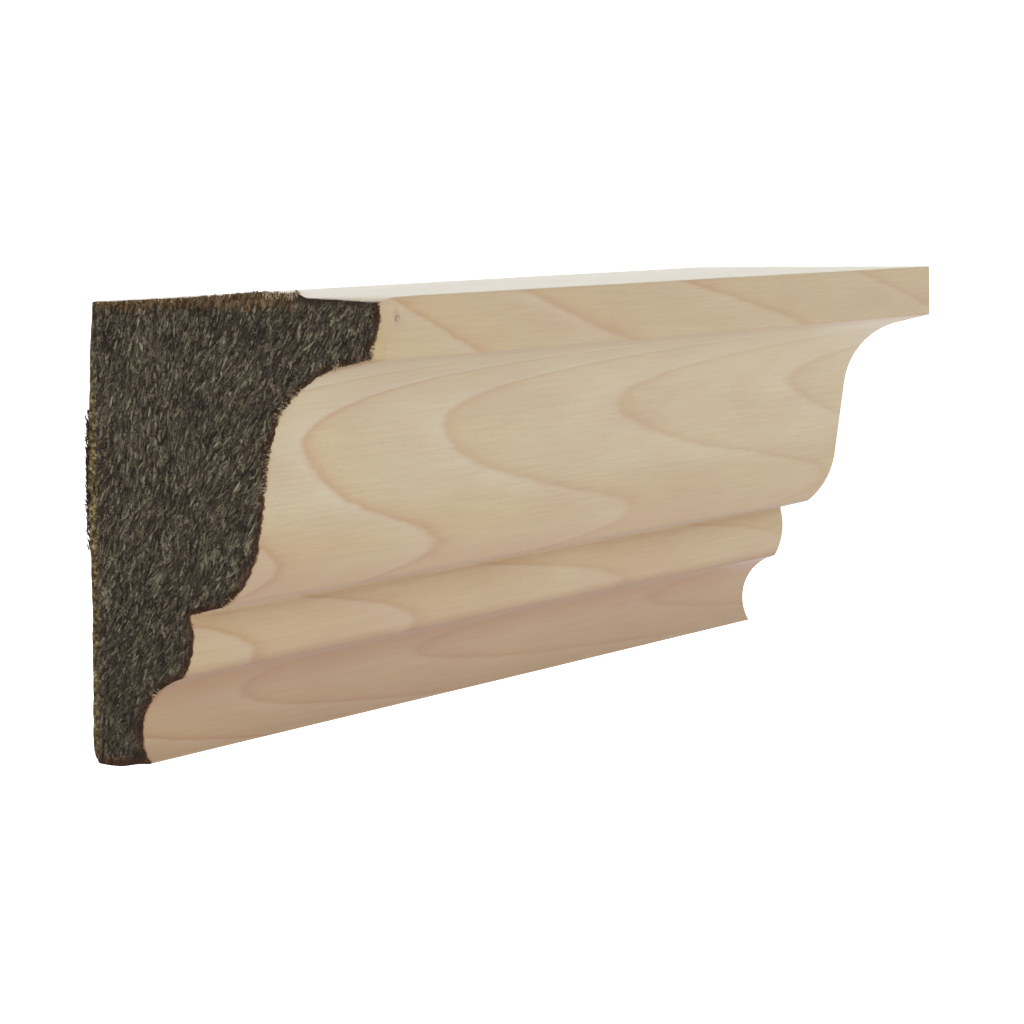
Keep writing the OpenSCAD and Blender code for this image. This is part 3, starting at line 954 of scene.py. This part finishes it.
# The sweep round it is a dome: (cos rise cos turn, cos rise sin turn, sin rise) times its radius.
turns = np.linspace(0.0, WHOLE_TURN, SWEEP_SIDES + 1)[:-1]
rises = np.linspace(-0.5, np.pi / 2.0 - 0.001, SWEEP_ROWS)
dome_points = np.stack([np.outer(np.cos(rises), np.cos(turns)),
                        np.outer(np.cos(rises), np.sin(turns)),
                        np.outer(np.sin(rises), np.ones(SWEEP_SIDES))], axis=-1).reshape(-1, 3) * SWEEP_RADIUS
grid = np.arange(SWEEP_ROWS * SWEEP_SIDES).reshape(SWEEP_ROWS, SWEEP_SIDES)
dome = mesh_object("sweep", dome_points, quads(grid, np.roll(grid, -1, axis=1)))

# Both are white to the lens and in reflections, and add nothing to the soft light.
for sheet, glow in ((floor, FLOOR_GLOW), (dome, SWEEP_GLOW)):
    sheet.data.materials.append(white_acrylic("white_acrylic_" + sheet.name, glow))
    sheet.visible_diffuse = False
    sheet.visible_shadow = False

world = bpy.data.worlds.new("studio_fill")
world.use_nodes = True
fill = world.node_tree.nodes["Background"].inputs
fill["Color"].default_value = (1.0, 1.0, 1.0, 1.0)
fill["Strength"].default_value = FILL_STRENGTH
bpy.context.scene.world = world
bpy.context.scene.view_settings.view_transform = "Standard"


def soft_box(name, place, size, power, tint):
    """A square soft box of that size at place, facing the moulding. power is in watts."""
    data = bpy.data.lights.new(name, "AREA")
    data.shape = "SQUARE"
    data.size = size
    data.energy = power
    data.color = tint
    box = bpy.data.objects.new(name, data)
    box.location = place
    box.rotation_mode = "QUATERNION"
    box.rotation_quaternion = Vector(place).to_track_quat("Z", "Y")
    box.visible_camera = False
    bpy.context.scene.collection.objects.link(box)


# The front is nearly white, the light from below is warm, and the two that reach the top are cool.
soft_box("front_box", (0.35, -1.6, 0.1), 1.2, 4.9, (1.0, 0.99, 0.92))
soft_box("under_box", (0.0, -1.0, -1.1), 1.2, 4.7, (1.0, 0.88, 0.72))
soft_box("end_box", (-1.6, -0.8, 0.3), 1.2, 10.4, (1.0, 1.0, 1.0))
soft_box("glare_box", (1.8, 0.62, 0.16), 0.8, 3.0, (0.55, 0.85, 1.0))
soft_box("top_box", (0.2, 0.8, 1.8), 1.2, 8.0, (0.91, 0.97, 1.0))
soft_box("back_box", (0.3, 1.8, 0.1), 1.2, 9.0, (1.0, 1.0, 1.0))
soft_box("far_box", (1.8, 0.4, -0.2), 0.8, 4.5, (1.0, 1.0, 1.0))

# A long lens, 0.75 m from the torn end and a little above it. Sensor and lens are in millimetres.
camera_data = bpy.data.cameras.new("camera")
camera_data.sensor_width = 36.0
camera_data.lens = 214.88
camera_data.clip_start = 0.05
camera_data.clip_end = 50.0
camera = bpy.data.objects.new("camera", camera_data)
bpy.context.scene.collection.objects.link(camera)
# The ways that the camera's right, up and back point, and the place it stands.
right = Vector((0.32443, -0.94587, -0.00821))
up = Vector((0.05275, 0.00943, 0.99856))
back = Vector((-0.94444, -0.3244, 0.05295))
stand = Vector((-0.8168, -0.2915, 0.0415))
turn = Matrix((right, up, back)).transposed()
camera.matrix_world = Matrix.Translation(stand) @ turn.to_4x4()
bpy.context.scene.camera = camera
